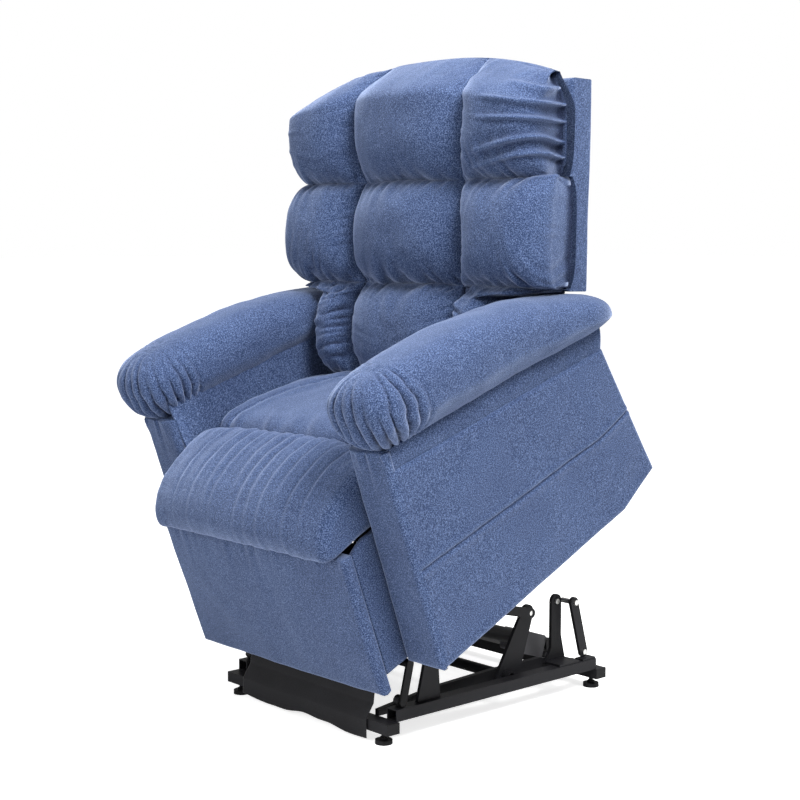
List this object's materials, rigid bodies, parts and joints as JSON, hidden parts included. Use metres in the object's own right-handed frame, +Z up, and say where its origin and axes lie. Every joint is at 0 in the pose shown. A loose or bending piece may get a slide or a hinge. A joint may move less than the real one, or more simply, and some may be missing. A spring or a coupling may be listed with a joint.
{
  "type": "lift recliner chair",
  "caption": "Upholstered power lift recliner with rolled arms and pillow back, raised and tipped forward on a black scissor-arm lift base.",
  "frame": {"origin": "on the floor, under the middle of the whole chair as raised", "axes": "+Z up, the sitter faces -Y, +X to the sitter's left"},
  "size_m": [0.92, 0.8638, 1.4083],
  "materials": {
    "upholstery": "heathered blue chenille weave",
    "plywood": "raw plywood",
    "black_cloth": "black nonwoven cloth",
    "actuator_housing": "fine-textured black",
    "handset_plastic": "satin black",
    "key_rubber": "matt grey",
    "black_plastic": "matt black",
    "zinc_steel": "zinc plated",
    "spring_steel": "oiled spring steel",
    "actuator_tube": "black",
    "black_steel": "satin black powder coat"
  },
  "bodies": {
    "base": {"base_front_tube": "black_steel", "base_rear_tube": "black_steel", "tube_end_caps": "black_plastic", "levelling_feet": "black_plastic", "base_side_rails": "black_steel", "front_brackets": "black_steel", "front_struts": "black_steel", "lower_bars": "black_steel", "base_cross_tube": "black_steel", "posts": "black_steel", "rear_towers": "black_steel", "rear_stays": "black_steel", "base_bolts": "zinc_steel", "lift_clevis": "black_steel", "front_skirt": "black_cloth"},
    "lift_arms": {"lift_arms": "black_steel", "lift_torque_tube": "black_steel", "lift_levers": "black_steel"},
    "stabiliser": {"stabiliser_arms": "black_steel"},
    "lift_actuator": {"lift_motor": "actuator_housing", "lift_actuator_tube": "actuator_tube"},
    "lift_rod": {"lift_actuator_rod": "zinc_steel"},
    "chair": {"seat_frame": "black_steel", "seat_pivot_pins": "zinc_steel", "seat_springs": "spring_steel", "seat_box": "plywood", "seat_cushion": "upholstery", "seat_front_pad": "upholstery", "left_side_panel": "upholstery", "right_side_panel": "upholstery", "left_arm_front": "upholstery", "right_arm_front": "upholstery", "left_arm_frame": "plywood", "right_arm_frame": "plywood", "left_arm_roll": "upholstery", "right_arm_roll": "upholstery", "arm_top_boards": "upholstery", "recline_brackets": "black_steel", "recline_hanger": "black_steel", "control_box": "actuator_housing", "legrest_tracks": "black_steel", "legrest_motor": "actuator_housing", "handset_pocket": "black_cloth", "handset_shell": "handset_plastic"},
    "recline_actuator": {"recline_motor": "actuator_housing"},
    "recline_rod": {"recline_rod": "zinc_steel"},
    "back": {"back_hinge_arms": "black_steel", "back_frame": "plywood", "recline_lever": "black_steel", "back_shell": "upholstery", "back_pillows_upper": "upholstery", "back_pillows_middle": "upholstery", "back_pillows_lower": "upholstery"},
    "legrest_slide": {"legrest_slides": "black_steel", "legrest_rod": "zinc_steel"},
    "legrest": {"legrest_hinges": "zinc_steel", "legrest_board": "plywood", "legrest_pad": "upholstery"},
    "key_up": {"handset_key_up": "key_rubber"},
    "key_down": {"handset_key_down": "key_rubber"}
  },
  "joints": [
    {"name": "lift", "type": "hinge", "parent": "base", "child": "lift_arms", "pos_m": [0, -0.09809, 0.172], "axis": [-1, 0, 0], "range_deg": [0, 60.86]},
    {"name": "chair_tilt", "type": "hinge", "parent": "lift_arms", "child": "chair", "pos_m": [0, 0.09168, 0.35816], "axis": [1, 0, 0], "range_deg": [0, 35.21]},
    {"name": "stabiliser_swing", "type": "hinge", "parent": "base", "child": "stabiliser", "pos_m": [0, 0.22791, 0.197], "axis": [1, 0, 0], "range_deg": [0, 36.05]},
    {"name": "lift_actuator_swing", "type": "hinge", "parent": "base", "child": "lift_actuator", "pos_m": [0, 0.38891, 0.082], "axis": [1, 0, 0], "range_deg": [0, 8.2]},
    {"name": "lift_stroke", "type": "slide", "parent": "lift_actuator", "child": "lift_rod", "axis": [0, -0.9529, 0.3031], "range_m": [-0.03312, 0]},
    {"name": "recline", "type": "hinge", "parent": "chair", "child": "back", "pos_m": [0, 0.24832, 0.60456], "axis": [-1, 0, 0], "range_deg": [0, 38]},
    {"name": "recline_actuator_swing", "type": "hinge", "parent": "chair", "child": "recline_actuator", "pos_m": [0, -0.06523, 0.42591], "axis": [1, 0, 0], "range_deg": [0, 4.24]},
    {"name": "recline_stroke", "type": "slide", "parent": "recline_actuator", "child": "recline_rod", "axis": [0, 0.9665, 0.2567], "range_m": [-0.05558, 0]},
    {"name": "legrest_extend", "type": "slide", "parent": "chair", "child": "legrest_slide", "axis": [0, -0.9011, -0.4337], "range_m": [0, 0.11]},
    {"name": "legrest_swing", "type": "hinge", "parent": "legrest_slide", "child": "legrest", "pos_m": [0, -0.3372, 0.36383], "axis": [-1, 0, 0], "range_deg": [0, 80.05]},
    {"name": "key_up_press", "type": "slide", "parent": "chair", "child": "key_up", "axis": [1, 0, 0], "range_m": [0, 0.0012], "stiffness_N_per_m": 600},
    {"name": "key_down_press", "type": "slide", "parent": "chair", "child": "key_down", "axis": [1, 0, 0], "range_m": [0, 0.0012], "stiffness_N_per_m": 600}
  ],
  "couplings": [
    {"joint": "chair_tilt", "follows": "lift", "ratio": 0.57771},
    {"joint": "stabiliser_swing", "follows": "lift", "ratio": 0.59153},
    {"joint": "lift_actuator_swing", "follows": "lift", "ratio": 0.13393},
    {"joint": "lift_stroke", "follows": "lift", "m_per_rad": -0.030996},
    {"joint": "recline_actuator_swing", "follows": "recline", "ratio": 0.11016},
    {"joint": "recline_stroke", "follows": "recline", "m_per_rad": -0.083499},
    {"joint": "legrest_swing", "follows": "legrest_extend", "rad_per_m": 12.693}
  ]
}
